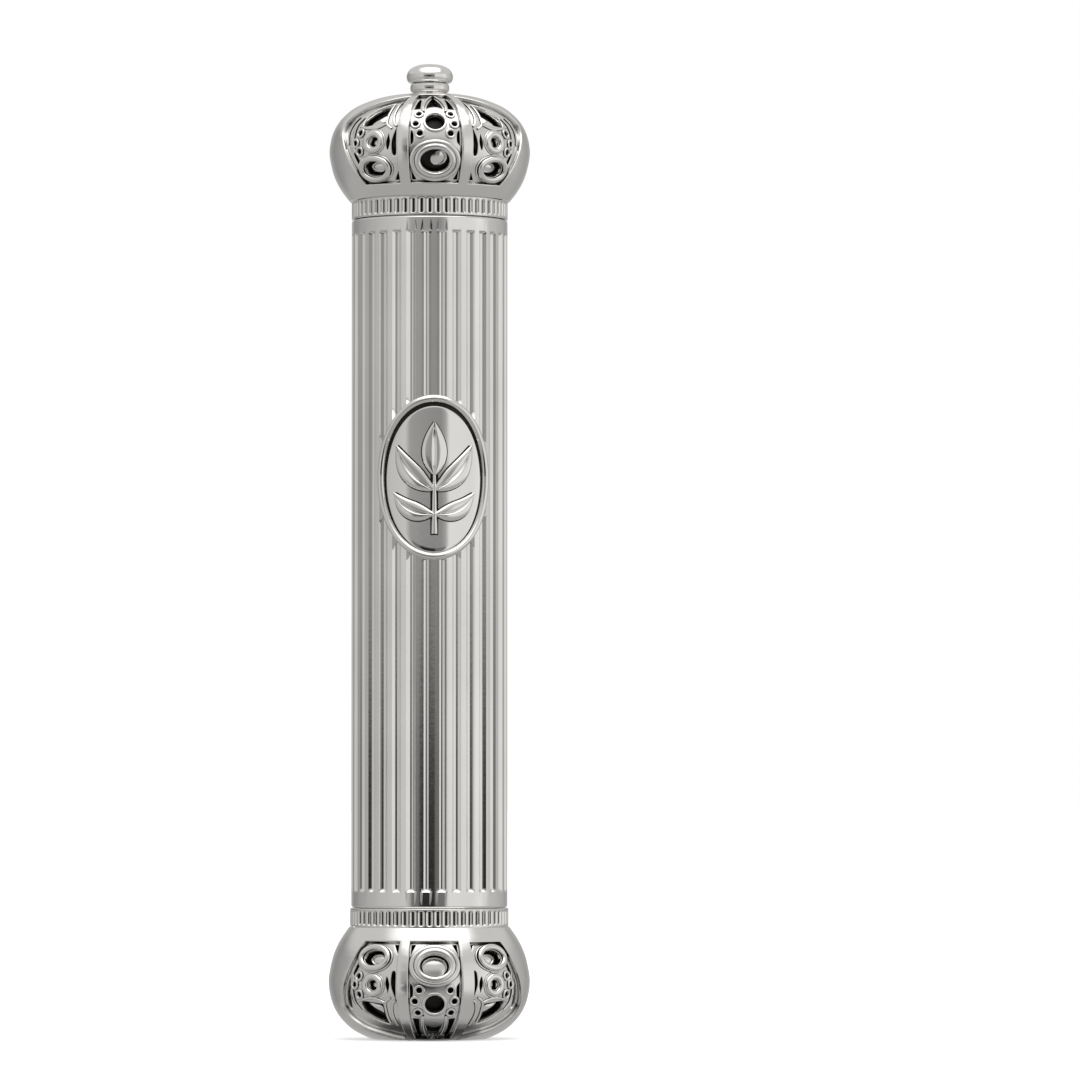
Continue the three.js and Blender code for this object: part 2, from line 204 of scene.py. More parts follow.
def half_round(angle, radius, height):
    """Points of a round part that is cut off at the flat back."""
    y = np.minimum(-radius * np.cos(angle), BACK)
    return np.stack(np.broadcast_arrays(radius * np.sin(angle), AXIS_Y + y, height), -1)


def end_angle(radius):
    """Where a circle of this radius meets the flat back, measured from the front."""
    return np.arccos(np.clip(-BACK / radius, -1, 1))


def released(bm):
    """Vertices and faces of a bmesh, which is then freed."""
    bm.verts.index_update()
    vertices = np.array([v.co for v in bm.verts])
    faces = [[v.index for v in f.verts] for f in bm.faces]
    bm.free()
    return vertices, faces


def bevelled_bar(low, high, bevel=0.12):
    """A box with bevelled edges, for the small inner bars."""
    bm = bmesh.new()
    bmesh.ops.create_cube(bm, size=1)
    size = np.array(high) - np.array(low)
    centre = (np.array(high) + np.array(low)) / 2
    for vertex in bm.verts:
        vertex.co = Vector(np.array(vertex.co) * size + centre)
    bmesh.ops.bevel(bm, geom=bm.edges[:], offset=bevel, segments=2, affect="EDGES")
    return released(bm)


# ---- Casing ----

def flute_columns():
    """Angles across the casing: close together in a flute, with its edges on a column."""
    flute_half = FLUTE_HALF_WIDTH / CASING_R
    land_half = FLUTE_PITCH / 2 - flute_half
    offsets = list(np.linspace(-land_half, land_half, 5)[:-1])
    offsets += list(FLUTE_PITCH / 2 + flute_half * np.linspace(-1, 1, 13)[:-1])
    limit = end_angle(CASING_R)
    count = int(limit / FLUTE_PITCH) + 2
    angles = [i * FLUTE_PITCH + o for i in range(-count, count) for o in offsets]
    inside = [a for a in angles if abs(a) < limit - 0.01]
    return np.array([-limit, *inside, limit])


def flute_rows():
    """Heights along the casing: close together at its ends and where the flutes end."""
    ends = np.array([0, 0.06, 0.14, 0.24, 0.36, 0.5])
    fine = np.arange(0, 1.5, 0.1)
    middle = np.arange(FLUTE_BOTTOM + 1.5, FLUTE_TOP - 1.5, 1.6)
    return np.array([*(SEAM_BOTTOM + ends), *(FLUTE_BOTTOM + fine), *middle, *(FLUTE_TOP - fine[::-1]),
                     *(SEAM_TOP - ends[::-1])])


def flute_depth(angle, height):
    """Concave flutes with short, nearly square ends. A land lies on the centre plane."""
    across = ((angle / FLUTE_PITCH) % 1 - 0.5) * FLUTE_PITCH * CASING_R
    middle = (FLUTE_TOP + FLUTE_BOTTOM) / 2
    straight = (FLUTE_TOP - FLUTE_BOTTOM) / 2 - FLUTE_END
    beyond = np.maximum(np.abs(height - middle) - straight, 0)
    hollow = np.clip(1 - (across / FLUTE_HALF_WIDTH)**2, 0, 1) * np.clip(1 - (beyond / FLUTE_END)**2, 0, 1)
    inside = np.abs(angle) < end_angle(CASING_R) - FLUTE_PITCH / 2
    return np.where(inside, FLUTE_DEPTH * hollow, 0)


def make_casing():
    """The fluted half-round wall, with the lips that hold it on the back plate and the stop above it."""
    angle, height = np.meshgrid(flute_columns(), flute_rows())
    edge_drop, edge_length = 0.3, 0.36
    edge = np.minimum(height - SEAM_BOTTOM, SEAM_TOP - height)
    eased = edge_drop * np.clip(1 - edge / edge_length, 0, 1)**2
    outer = half_round(angle, CASING_R - flute_depth(angle, height) - eased, height)
    shrink = end_angle(CASING_BORE_R) / end_angle(CASING_R)
    inner = half_round(angle * shrink, CASING_BORE_R, height)

    lip_inner, lip_outer = PLATE_HIGH[0] - 1.8, CASING_R - 0.8
    back = SHELL_HIGH[1]
    bars = []
    for left, right in ((-lip_outer, -lip_inner), (lip_inner, lip_outer)):
        bars.append(bevelled_bar([left, back - BACK_LIP, SEAM_BOTTOM], [right, back, SEAM_TOP]))
    stop_low, stop_height, stop_half = PLATE_HIGH[2] + 0.3, 2, CASING_R - 0.9
    bars.append(bevelled_bar([-stop_half, PLATE_LOW[1], stop_low], [stop_half, back, stop_low + stop_height]))
    return make("casing_fluted", [wall(outer, inner), *bars], 24)


# ---- Medallion ----

BEAD_HALF_WIDTH = 8.38
BEAD_HALF_HEIGHT = 12.02
PLATE_R = 12.5


def on_casing(across, up, radius):
    """A point of the medallion: mm across along the casing's surface, mm up from its centre."""
    angle = across / CASING_R
    return np.stack(np.broadcast_arrays(radius * np.sin(angle), AXIS_Y - radius * np.cos(angle),
                                        MEDAL_Z + up), -1)


def oval_sweep(half_width, half_height, section, segments=160):
    """A closed section of (outward mm, radius) carried round an oval."""
    turn = full_turn(segments)[:, None]
    outward, radius = np.array(section).T
    across = (half_width + outward) * np.cos(turn)
    up = (half_height + outward) * np.sin(turn)
    vertices = on_casing(across, up, np.broadcast_to(radius, across.shape))
    return vertices.reshape(-1, 3), tube_faces(segments, len(section), closed=True)


def make_medallion_rim():
    """A round bright bead that stands on the casing."""
    turn = np.linspace(0, math.pi, 15)
    half, foot = 0.6, CASING_R - 0.25
    over = [(half * math.cos(a), CASING_R + 0.15 + 0.8 * math.sin(a)) for a in turn]
    section = [*over, (-half, foot), (half, foot)]
    return make("medallion_bead", [oval_sweep(BEAD_HALF_WIDTH, BEAD_HALF_HEIGHT, section)], 30)


def make_medallion_groove():
    """The floor of the groove between the bead and the plate, blackened: antiquing, with painted shade in the
    groove.
    """
    inner, outer = -1.6, -0.3
    low, high = CASING_R - 0.2, CASING_R + 0.1
    floor = [(outer, high), (inner, high), (inner, low), (outer, low)]
    return make("medallion_groove", [oval_sweep(BEAD_HALF_WIDTH, BEAD_HALF_HEIGHT, floor)], 30)


def make_medallion_plate():
    """A smooth oval that follows the casing, with a rounded edge."""
    half_width, half_height, drop, segments = 7.38, 11.2, 0.3, 160
    turn = full_turn(segments)[None, :]
    share = np.array([*np.linspace(0.02, 0.97, 24), 0.985, 0.996, 1.0, 1.0])[:, None]
    sink = np.array([0] * 24 + [0.015, 0.06, 0.13, 0.42])[:, None]
    radius = np.broadcast_to(PLATE_R - sink, (len(share), segments))
    face = on_casing(half_width * share * np.cos(turn), half_height * share * np.sin(turn) - drop, radius)
    return make("medallion_oval", [(face.reshape(-1, 3), tube_faces(len(share), segments))], 30)


# ---- Flat outlines, pierced and then wrapped ----

def bezier(points, count=14):
    """Samples of chained cubic curves: start, then two handles and an end for each."""
    samples = []
    for k in range(0, len(points) - 3, 3):
        a, b, c, d = (np.array(p, float) for p in points[k:k + 4])
        for t in np.linspace(0, 1, count, endpoint=False):
            samples.append((1 - t)**3 * a + 3 * (1 - t)**2 * t * b + 3 * (1 - t) * t**2 * c + t**3 * d)
    return np.array(samples)


def pierced_plate(outer, holes, thickness, bevel, cell):
    """A flat plate with round-edged holes, cut by a grid so that it can be wrapped smoothly.

    Returns vertices whose z runs from 0 at the top face down to -thickness.
    """
    curve = bpy.data.curves.new("outline", "CURVE")
    curve.dimensions = "2D"
    curve.fill_mode = "BOTH"
    curve.extrude = thickness / 2 - bevel
    curve.bevel_depth = bevel
    curve.bevel_resolution = 2
    curve.offset = -bevel
    for loop in [outer, *holes]:
        spline = curve.splines.new("POLY")
        spline.points.add(len(loop) - 1)
        spline.points.foreach_set("co", [v for x, y in loop for v in (x, y, 0, 1)])
        spline.use_cyclic_u = True
    obj = linked("outline", curve)
    evaluated = obj.evaluated_get(bpy.context.evaluated_depsgraph_get())
    mesh = bpy.data.meshes.new_from_object(evaluated)
    bm = bmesh.new()
    bm.from_mesh(mesh)
    bmesh.ops.remove_doubles(bm, verts=bm.verts, dist=1e-4)
    low, high = np.min(outer, axis=0), np.max(outer, axis=0)
    for axis in (0, 1):
        normal = [0, 0, 0]
        normal[axis] = 1
        for place in np.arange(low[axis] + cell / 2, high[axis], cell):
            point = [0, 0, 0]
            point[axis] = place
            bmesh.ops.bisect_plane(bm, geom=bm.verts[:] + bm.edges[:] + bm.faces[:],
                                   plane_co=point, plane_no=normal, dist=1e-4)
    vertices, faces = released(bm)
    bpy.data.objects.remove(obj)
    bpy.data.curves.remove(curve)
    bpy.data.meshes.remove(mesh)
    vertices[:, 2] -= thickness / 2
    return vertices, faces


# ---- Emblem: a sprig of five leaves ----

LEAVES = [                      # base, tip, half width, and how far the middle bows to the left
    ((0, 0.2), (0, 8.5), 1.75, 0.0),
    ((0, -2.0), (5.5, 4.9), 1.5, -1.0),
    ((0, -2.0), (-5.5, 4.9), 1.5, 1.0),
    ((0, -5.6), (5.9, -2.3), 1.35, -1.1),
    ((0, -5.6), (-5.9, -2.3), 1.35, 1.1),
]


def midline(base, tip, bow, count=40):
    """Points along a bowed line, with the unit direction across it at each."""
    share = np.linspace(0, 1, count)[:, None]
    base, tip = np.array(base, float), np.array(tip, float)
    run = tip - base
    side = np.array([-run[1], run[0]]) / np.linalg.norm(run)
    line = base + run * share + side * bow * np.sin(math.pi * share)
    along = np.gradient(line, axis=0)
    along /= np.linalg.norm(along, axis=1)[:, None]
    return line, np.stack([along[:, 1], -along[:, 0]], -1)


def strip(line, across, widths, section):
    """A closed strip along a midline. The section is a loop of (share of the width, extra width, radius)."""
    share, extra, radius = np.array(section).T
    reach = widths[:, None] * share + extra
    flat = line[:, None] + across[:, None] * reach[..., None]
    points = on_casing(flat[..., 0], flat[..., 1], np.broadcast_to(radius, reach.shape))
    return points.reshape(-1, 3), tube_faces(*reach.shape)


def leaf_strips(section):
    """A strip for each leaf."""
    strips = []
    for base, tip, half_width, bow in LEAVES:
        line, across = midline(base, tip, bow)
        strips.append(strip(line, across, leaf_widths(half_width), section))
    return strips


def leaf_widths(half_width, count=40):
    """Half widths along a leaf, which is widest a little nearer to its base."""
    share = np.linspace(0, 1, count)
    return 0.05 + half_width * np.sin(math.pi * share**0.85)**0.9


def make_emblem():
    """Crowned leaves, each with a creased midrib and a steep edge, on a round stem."""
    foot, edge = PLATE_R - 0.2, PLATE_R + 0.25
    over = [(v, 0, PLATE_R + 0.32 + 0.4 * math.sqrt(1 - v * v) - 0.26 * math.exp(-(v / 0.13)**2))
            for v in np.linspace(0.985, -0.985, 31)]
    parts = leaf_strips([(1, 0, foot), (1, 0, edge), *over, (-1, 0, edge), (-1, 0, foot)])
    line, across = midline((0, -8.6), (0, 1.4), 0.0)
    round_top = [(math.cos(a), 0, PLATE_R + 0.3 + 0.35 * math.sin(a)) for a in np.linspace(0, math.pi, 11)]
    taper = np.linspace(0.42, 0.2, len(line))
    parts.append(strip(line, across, taper, [(1, 0, foot), *round_top, (-1, 0, foot)]))
    return make("emblem_leaves", parts)


def make_emblem_recess():
    """A blackened line round the leaves and the stem: antiquing, with painted shade along their steep edges.
    """
    margin, low, high = 0.17, PLATE_R - 0.2, PLATE_R + 0.03
    section = [(1, margin, low), (1, margin, high), (-1, -margin, high), (-1, -margin, low)]
    line, across = midline((0, -8.8), (0, 1.4), 0.0)
    stem = strip(line, across, np.full(len(line), 0.42), section)
    return make("emblem_recess", [*leaf_strips(section), stem])


# ---- Crowns ----

class Dome:
    """A crown's outer surface, and what differs between the two crowns.

    s is the length along the outline, h the height off the surface. A rise is a height away from the
    seam, on the upper crown's outline; the lower one is drawn out a little.
    """

    def __init__(self, place, body, seam, direction, height, collar_r, crown_end, liner_end, hole_rise,
                 squeeze, channel):
        knots = [(DOME_START, 12.25), (4.5, 13.5), (6.2, 14.45), (8.0, 15.05), (10.5, 15.45), (13.0, 15.05),
                 (14.8, 14.2), (16.2, 13.0), (17.4, 11.4), (DOME_END, 8.8), (19.1, 6.4), (19.45, 3.6)]
        line = smooth_curve(knots, 400)
        stretch = (height - DOME_START) / (DOME_END - DOME_START)
        self.plain_rise, self.radius = line.T
        self.rise = DOME_START + (self.plain_rise - DOME_START) * stretch
        self.length = np.concatenate([[0], np.cumsum(np.hypot(np.diff(self.rise), np.diff(self.radius)))])
        self.place, self.body, self.seam, self.direction = place, body, seam, direction
        self.collar_r, self.crown_end, self.liner_end = collar_r, crown_end, liner_end
        self.hole_rise, self.squeeze, self.channel = hole_rise, squeeze, channel

    def s_of(self, rise):
        return np.interp(rise, self.plain_rise, self.length)

    def rise_at(self, s):
        return np.interp(s, self.length, self.rise)

    def radius_at(self, s):
        return np.interp(s, self.length, self.radius)

    def height(self, rise):
        return self.seam + self.direction * rise

    def point(self, angle, s, h):
        """Frame position of a point at an angle from the front, a length along and a height off."""
        near = 0.15
        rise_step = self.rise_at(s + near) - self.rise_at(s - near)
        radius_step = self.radius_at(s + near) - self.radius_at(s - near)
        size = np.hypot(rise_step, radius_step)
        radius = self.radius_at(s) + h * rise_step / size
        rise = self.rise_at(s) - h * radius_step / size
        points = half_round(angle, radius, self.height(rise))
        if self.channel:
            inside = np.abs(points[..., 0]) < CHANNEL_HALF_WIDTH
            points[..., 1] = np.where(inside, np.minimum(points[..., 1], CHANNEL_FRONT), points[..., 1])
        return points

    def flat(self, degrees, rise):
        """An angle and a rise as a point of the unrolled drawing."""
        return np.array([math.radians(degrees) * PLANE_R, self.s_of(rise)])

    def flat_side(self, degrees, rise):
        """The same for a side window's detail, which the lower crown has closer to its seam."""
        return self.flat(degrees, rise - self.squeeze * max(rise - RING_RISE, 0))


def oval(centre, half_width, half_height, count=40, turn=0.0):
    """An oval in the unrolled drawing."""
    t = full_turn(count)
    x, y = half_width * np.cos(t), half_height * np.sin(t)
    c, s = math.cos(turn), math.sin(turn)
    return np.stack([centre[0] + c * x - s * y, centre[1] + s * x + c * y], -1)


def bead(dome, path, thickness, h, closed):
    """A round bead, a little flattened, along a path of the unrolled drawing. Its middle is at height h."""
    flatness = 0.62
    path = np.array(path, float)
    if closed:
        ahead, behind = np.roll(path, -1, axis=0), np.roll(path, 1, axis=0)
    else:
        ahead, behind = np.vstack([path[1:], path[-1:]]), np.vstack([path[:1], path[:-1]])
    along = ahead - behind
    along /= np.linalg.norm(along, axis=1)[:, None]
    across = np.stack([along[:, 1], -along[:, 0]], -1)
    turn = full_turn(BEAD_SIDES)
    flat = path[:, None] + across[:, None] * (thickness * np.cos(turn))[None, :, None]
    lift = h + flatness * thickness * np.sin(turn)[None, :] + np.zeros((len(path), 1))
    points = dome.point(flat[..., 0] / PLANE_R, flat[..., 1], lift)
    return points.reshape(-1, 3), tube_faces(len(path), BEAD_SIDES, closed)


def mirrored(loops):
    """The same loops on the other side of the centre plane."""
    return [(np.array(loop) * [-1, 1])[::-1] for loop in loops]


def both_sides(edge):
    """A loop from its right half, a list of points."""
    return np.array(edge + [point * [-1, 1] for point in edge[::-1]])


def grown(loop, margin):
    """A loop moved outward from its middle by about a margin."""
    loop = np.array(loop, float)
    middle = loop.mean(axis=0)
    away = loop - middle
    return loop + margin * away / np.linalg.norm(away, axis=1)[:, None]


# One window: its outline, the holes through its plate, and its beads (path, thickness, lift, closed).
Window = namedtuple("Window", "outline holes beads")


def dot_holes(dots):
    return [oval(dot, DOT_R, DOT_R, 20) for dot in dots]


def dot_beads(dots):
    return [(oval(dot, DOT_R + 0.2, DOT_R + 0.2, 28), 0.2, 0.12, True) for dot in dots]


def front_window(dome):
    """From the seam on: a ring, then a round opening between dots, then an arch."""
    f, level = dome.flat, dome.hole_rise
    edge = [f(15.6, rise) for rise in np.linspace(WINDOW_LOW, 18.9, 22)]
    middle, round_hole = f(0, RING_RISE), f(0, level)
    dots = [f(9.2, level - 2.1), f(12.0, level - 0.5), f(10.5, level + 1.2)]
    right = [
        *dot_holes(dots),
        np.array([f(12.2, OPENING_LOW), f(14.9, OPENING_LOW), f(14.9, 6.3)]),
        smooth_loop([f(14.7, 10.4), f(14.7, 12.7), f(13.3, 12.3), f(13.1, 11.0)], 16),
        np.array([f(10.0, level + 2.2), f(14.3, level + 2.1), f(13.2, 18.5), f(11.0, 18.3)]),
    ]
    arch = bezier([f(-6.0, 16.6), f(-5.6, 17.6), f(-2.6, 18.4), f(0, 18.82),
                   f(2.6, 18.4), f(5.6, 17.6), f(6.0, 16.6), f(3.0, 17.1), f(-3.0, 17.1), f(-6.0, 16.6)], 8)
    holes = [oval(middle, 2.35, 1.9), oval(round_hole, 1.6, 1.6), arch, *right, *mirrored(right)]
    leg = smooth_curve([f(7.6, level + 1.6), f(8.2, 16.9), f(6.0, 18.2), f(0.8, 19.0)], 20)
    beads = [
        (oval(middle, 2.78, 2.3, 64), 0.45, 0.42, True),
        (oval(middle, 3.65, 3.0, 64), 0.45, 0.2, True),
        (oval(round_hole, 1.8, 1.82, 48), 0.24, 0.1, True),
        *dot_beads([dot * [side, 1] for dot in dots for side in (1, -1)]),
        *((path, 0.26, 0.14, False) for path in (leg, *mirrored([leg]))),
    ]
    return Window(both_sides(edge), holes, beads)


def side_window(dome):
    """The right window: a large and a small ring, three dots, a long opening and slits between strands."""
    f = dome.flat
    inner = [f(22.5, rise) for rise in np.linspace(DOME_END, WINDOW_LOW, 18)]
    outer = smooth_curve([f(49, WINDOW_LOW), f(57, 8.3), f(63, 11.5), f(66.5, 13.6), f(64, 15.3), f(56, 16.6),
                          f(45, 17.5), f(33, 18.15), f(22.5, DOME_END)], 40)[:-1]
    f = dome.flat_side
    big, small = side_rings(dome)
    dots = [f(49.5, 9.7), f(53.0, 11.1), f(49.5, 12.75)]
    long_opening = smooth_curve([f(32.6, 14.3), f(41, 14.0), f(47.5, 13.9), f(49.4, 14.5), f(48.2, 15.8),
                                 f(41, 17.1), f(32.6, 17.75)], 40)
    holes = [
        oval(big, 2.1, 1.3),
        oval(small, 0.82, 0.82, 24),
        *dot_holes(dots),
        np.vstack([long_opening, [f(32.3, 16.0)]]),
        smooth_loop([f(23.9, 13.3), f(23.7, 9.2), f(26.0, 9.0), f(26.3, 11.2)], 16),
        smooth_loop([f(28.6, 12.4), f(27.6, 11.0), f(29.2, 9.7), f(30.0, 11.0)], 16),
        np.array([f(23.4, OPENING_LOW), f(26.4, OPENING_LOW), f(23.4, 6.2)]),
        smooth_loop([f(54.6, 10.6), f(57.6, 12.6), f(56.0, 14.6), f(54.2, 12.8)], 16),
        smooth_loop([f(50.6, 6.6), f(55.2, 9.2), f(53.4, 9.4), f(49.8, 7.6)], 16),
    ]
    strands = [[f(31.2, 17.4), f(31.3, 15.6), f(30.6, 14.0), f(27.0, 13.2)],
               [f(26.6, 17.8), f(27.3, 15.8), f(26.0, 14.2), f(24.0, 13.6)],
               [f(31.3, 14.0), f(37.0, 13.4), f(44.0, 13.4), f(51.5, 13.9)],
               [f(53.0, 9.6), f(55.2, 11.6), f(54.6, 14.0), f(51.0, 15.4)]]
    if dome.place == "top":
        strands.append([f(59.6, 11.0), f(60.8, 12.6), f(59.6, 14.4), f(56.4, 15.6)])
    else:
        holes.append(smooth_loop([f(57.6, 9.8), f(61.2, 12.0), f(63.2, 14.4), f(60.6, 15.4), f(58.4, 13.8),
                                  f(57.0, 11.6)], 24))
    beads = [
        (oval(big, 2.6, 1.75, 56), 0.46, 0.36, True),
        (oval(big, 3.3, 2.25, 56), 0.16, 0.1, True),
        (oval(small, 1.42, 1.42, 44), 0.5, 0.16, True),
        (oval(small, 2.05, 2.0, 44), 0.14, 0.08, True),
        *dot_beads(dots),
        *((smooth_curve(strand, 24), 0.2, 0.1, False) for strand in strands),
    ]
    return Window(np.vstack([inner, outer]), holes, beads)


def side_rings(dome):
    """Middles of the large and the small ring of a side window."""
    return dome.flat_side(39.4, 6.8), dome.flat_side(38.8, 11.15)


def side_pads(dome):
    """Outlines of the bosses behind the right window's rings and its long opening."""
    f = dome.flat_side
    big, small = side_rings(dome)
    long_boss = [f(36.2, 16.4), f(36.0, 15.2), f(41, 14.7), f(46, 14.5), f(44.5, 15.2), f(40, 15.9)]
    return [oval(big, 1.5, 0.98), oval(small, 0.55, 0.55, 24), smooth_loop(long_boss, 30)]


def mirror_window(window):
    """The same window on the other side of the centre plane."""
    beads = [(path * [-1, 1], *rest) for path, *rest in window.beads]
    return Window(mirrored([window.outline])[0], mirrored(window.holes), beads)


def wrap(dome, plate, depth):
    """Lays a pierced plate on the dome, its top face at a depth below the surface."""
    vertices, faces = plate
    return dome.point(vertices[:, 0] / PLANE_R, vertices[:, 1], vertices[:, 2] - depth), faces


def make_crown(dome):
    """Bands round the three windows, and each window's pierced plate and beads, a little lower."""
    side = side_window(dome)
    windows = [front_window(dome), side, mirror_window(side)]
    lengths = np.linspace(0.0, dome.s_of(dome.crown_end), 40)
    edge = [np.array([end_angle(dome.radius_at(s)) * PLANE_R, s]) for s in lengths]
    bands = pierced_plate(both_sides(edge), [w.outline for w in windows], FRAME_WALL, bevel=0.16, cell=1.1)
    parts = [wrap(dome, bands, 0)]
    for window in windows:
        plate = pierced_plate(grown(window.outline, 0.45), window.holes, WINDOW_WALL, bevel=0.1, cell=0.8)
        parts.append(wrap(dome, plate, WINDOW_TOP_DEPTH))
        for path, thickness, lift, closed in window.beads:
            parts.append(bead(dome, path, thickness, lift - WINDOW_TOP_DEPTH, closed))
    return make("crown_openwork_" + dome.place, parts, 38)


def liner_depth(dome, s):
    """The liner comes closer to the windows towards the crown's end."""
    rise = np.interp(s, dome.length, dome.plain_rise)
    return np.interp(rise, (14.0, 17.5), (LINER_DEPTH, LINER_END_DEPTH))


def make_liner(dome):
    """The inner shell behind the windows, dark with painted shade of the crown's inside. The lower one is
    closed at its foot.
    """
    share, s = np.meshgrid(np.linspace(-1, 1, 90), np.linspace(0.5, dome.s_of(dome.liner_end), 40))
    depth = liner_depth(dome, s)
    angle = share * end_angle(dome.radius_at(s) - depth)
    outer = dome.point(angle, s, -depth)
    parts = [wall(outer, dome.point(angle, s, -depth - LINER_WALL))]
    if dome.channel:
        radius, low = outer[-1, :, 0].max() - 0.1, outer[-1, 0, 2] + 0.05
        parts.append(half_disc(radius, CHANNEL_FRONT - AXIS_Y, low, low + LINER_WALL, 0.1))
    return make("liner_" + dome.place, parts)


def pad(dome, loop, bulge, tilt=(0.0, 0.0)):
    """A low polished boss on the liner, with the outline of a loop of the unrolled drawing."""
    loop = np.array(loop, float)
    middle = loop.mean(axis=0)
    share = np.array([0.04, 0.2, 0.36, 0.52, 0.68, 0.82, 0.93, 0.98, 1.0, 1.0])[:, None]
    flat = middle + share[..., None] * (loop - middle)
    lift = -PAD_DEPTH + bulge * (1 - share**2) - (flat - middle) @ np.array(tilt)
    lift[-2] -= 0.08
    lift[-1] = -LINER_DEPTH - 0.1
    points = dome.point(flat[..., 0] / PLANE_R, flat[..., 1], lift)
    return points.reshape(-1, 3), tube_faces(*flat.shape[:2])


def make_pads(dome, front_loop, front_bulge, front_tilt):
    """The bosses that show through the larger openings."""
    side = side_pads(dome)
    pads = [pad(dome, loop, 0.22) for loop in side + mirrored(side)]
    return make("liner_pads_" + dome.place, [pad(dome, front_loop, front_bulge, front_tilt), *pads])


def make_collar(dome):
    """A reeded ring: round upright reeds between slots, with a sill that closes the joint to the crown."""
    crest, low, high = dome.collar_r, COLLAR_LOW, COLLAR_HIGH
    limit = end_angle(crest)
    angles = np.linspace(-limit, limit, 491)
    heights = np.array([low, low + 0.08, low + 0.16, *np.linspace(low + 0.22, high - 0.12, 22), high])
    angle, height = np.meshgrid(angles, heights)
    pitch = 2 * math.pi / REEDS
    across = np.abs((angle / pitch) % 1 - 0.5) * pitch * crest
    reed_half = pitch * crest / 2 - SLOT_HALF_WIDTH
    share = np.clip((pitch * crest / 2 - across) / reed_half, 0, 1)
    inside = np.clip((SLOT_HALF_LENGTH - np.abs(height - COLLAR_MIDDLE)) / 0.16, 0, 1)
    depth = 0.5 * (1 - np.sqrt(1 - share**2)) * inside + np.where(height < low + 0.04, 0.06, 0)
    outer = half_round(angle, crest - depth, dome.height(height))
    shrink = end_angle(CASING_BORE_R) / limit
    inner = half_round(angle * shrink, CASING_BORE_R, dome.height(height))
    sill = low_band(dome, crest - 0.75, high - 0.4, high + 0.5)
    return make("collar_reeded_" + dome.place, [wall(outer, inner), sill])


def low_band(dome, radius, low, high):
    """A plain ring that lies below the collar's face."""
    share, rise = np.meshgrid(np.linspace(-1, 1, 90), [low, high])
    return wall(half_round(share * end_angle(radius), radius, dome.height(rise)),
                half_round(share * end_angle(CASING_BORE_R), CASING_BORE_R, dome.height(rise)))


def make_collar_recess(dome):
    """A dark band that shows in the slots: painted shade inside the slots."""
    reach = SLOT_HALF_LENGTH - 0.05
    band = low_band(dome, dome.collar_r - 0.38, COLLAR_MIDDLE - reach, COLLAR_MIDDLE + reach)
    return make("collar_recess_" + dome.place, [band])


def make_knob():
    """A flattened ball with a wide foot, on its stud."""
    bottom, low, stud_r = KNOB_LOW[2], KNOB_HIGH[2] - 2.93, 1.05
    outline = smooth_curve([(3.05, low), (3.4, low + 0.25), (3.58, low + 0.9), (3.46, low + 1.5),
                            (2.95, low + 2.2), (1.85, low + 2.72), (0.6, low + 2.91)], 40)
    stud = [(0, bottom), (0.8, bottom), (stud_r, bottom + 0.3), (stud_r, low - 0.02), (2.9, low - 0.02)]
    return make("knob_ball", [turned([*stud, *outline, (0, KNOB_HIGH[2])])])


def ring(section, axis_y=AXIS_Y, back=None, segments=96):
    """A closed section of (radius, height) carried round an upright axis, cut off at a flat back if given."""
    section = np.array(section, float)
    angle = full_turn(segments)[:, None]
    y = -section[:, 0] * np.cos(angle)
    if back is not None:
        y = np.minimum(y, back)
    points = np.stack([section[:, 0] * np.sin(angle), axis_y + y,
                       np.broadcast_to(section[:, 1], y.shape)], -1)
    return points.reshape(-1, 3), tube_faces(segments, len(section), closed=True)


def make_knob_ring():
    """A ring whose outer face is a round bead. A skirt hangs round the crown's neck below it."""
    bore, neck, outer, skirt = 1.4, 2.52, 3.02, 0.5
    low, high = (corner[2] for corner in box_mm("knob_ring"))
    middle, half = (low - skirt + high) / 2, (high - low + skirt) / 2
    swell = outer - neck - 0.15
    turn = np.linspace(-math.pi / 2, math.pi / 2, 11)
    rounded = [(outer - swell + swell * math.cos(a), middle + half * math.sin(a)) for a in turn]
    section = [(bore, low), (neck, low), (neck, low - skirt + 0.05), *rounded, (bore, high)]
    return make("knob_bead_ring", [ring(section)])


def half_disc(radius, back, low, high, bevel):
    """A round plate with a flat back and bevelled edges."""
    limit = math.acos(max(-1.0, -back / radius))
    angle = np.linspace(-limit, limit, 72)
    outline = np.stack([radius * np.sin(angle), -radius * np.cos(angle)], -1)
    vertices, faces = pierced_plate(outline, [], high - low, bevel, UNCUT)
    return vertices + [0, AXIS_Y, high], faces


def make_crown_cap():
    """The plain cap that the bands run into, with the neck under the knob's ring."""
    outer = [(4.3, 19.0), (3.9, 19.15), (3.3, 19.3), (2.55, 19.4), (2.4, 19.55), (2.4, 20.1), (1.4, 20.15)]
    inner = [(1.4, 16.4), (3.0, 16.4), (3.4, 18.2), (4.3, 18.2)]
    return make("crown_cap", [ring(np.array(outer + inner) + [0, SEAM_TOP], back=BACK)], 35)


# ---- Plugs, foot, back plate, sleeve and scroll ----

def make_half_disc(name, node):
    """A plug or foot that has the size and place of its CAD node."""
    low, high = box_mm(node)
    radius = (high[0] - low[0]) / 2
    return make(name, [half_disc(radius, high[1] - AXIS_Y, low[2], high[2], 0.25)], 35)


